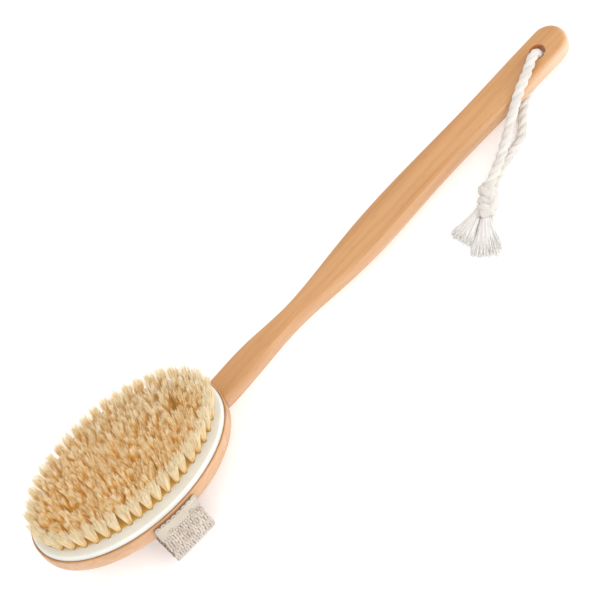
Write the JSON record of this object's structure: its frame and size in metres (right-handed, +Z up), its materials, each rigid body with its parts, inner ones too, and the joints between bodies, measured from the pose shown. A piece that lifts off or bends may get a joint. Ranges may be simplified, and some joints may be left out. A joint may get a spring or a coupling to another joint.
{
  "type": "body dry brush",
  "caption": "Long-handled dry body brush: oval wooden head full of bristle tufts, hand strap on its back, pull-off handle and cotton hanging rope.",
  "frame": {"origin": "middle of the strap's flat, where the brush lies on the floor under its head", "axes": "+X from the head along the handle to the tip, +Y to the brush's left, +Z up; the bristles point up, with the head dipping 7.8 degrees towards the handle"},
  "size_m": [0.4062, 0.1096, 0.0628],
  "materials": {
    "beech": "clear satin",
    "cream_plate": "smooth satin cream",
    "bristle": "natural bristle",
    "anchor_wire": "drawn flat wire",
    "strap_knit": "coarse knitted cotton",
    "strap_tape": "woven cotton tape",
    "tack": "dull brass",
    "cotton_rope": "twisted cotton"
  },
  "bodies": {
    "head": {"head_block": "beech", "bristle_plate": "cream_plate", "tufts_row_1": "bristle", "tufts_row_2": "bristle", "tufts_row_3": "bristle", "tufts_row_4": "bristle", "tufts_row_5": "bristle", "tufts_row_6": "bristle", "anchors_row_1": "anchor_wire", "anchors_row_2": "anchor_wire", "anchors_row_3": "anchor_wire", "anchors_row_4": "anchor_wire", "anchors_row_5": "anchor_wire", "anchors_row_6": "anchor_wire", "hand_strap": "strap_knit", "strap_tape_near": "strap_tape", "strap_tape_far": "strap_tape", "strap_tacks_near": "tack", "strap_tacks_far": "tack"},
    "handle": {"handle": "beech"},
    "rope": {"rope_loop": "cotton_rope", "rope_knot": "cotton_rope", "rope_tail_short": "cotton_rope", "rope_tail_long": "cotton_rope"}
  },
  "joints": [
    {"name": "handle_pull_off", "type": "slide", "parent": "head", "child": "handle", "axis": [0.9907, 0, -0.1357], "range_m": [0, 0.06]},
    {"name": "rope_swing", "type": "hinge", "parent": "handle", "child": "rope", "pos_m": [0.3247, 0, 0.0118], "axis": [0.0262, 0, 0.9997], "range_deg": [0, 290]}
  ]
}
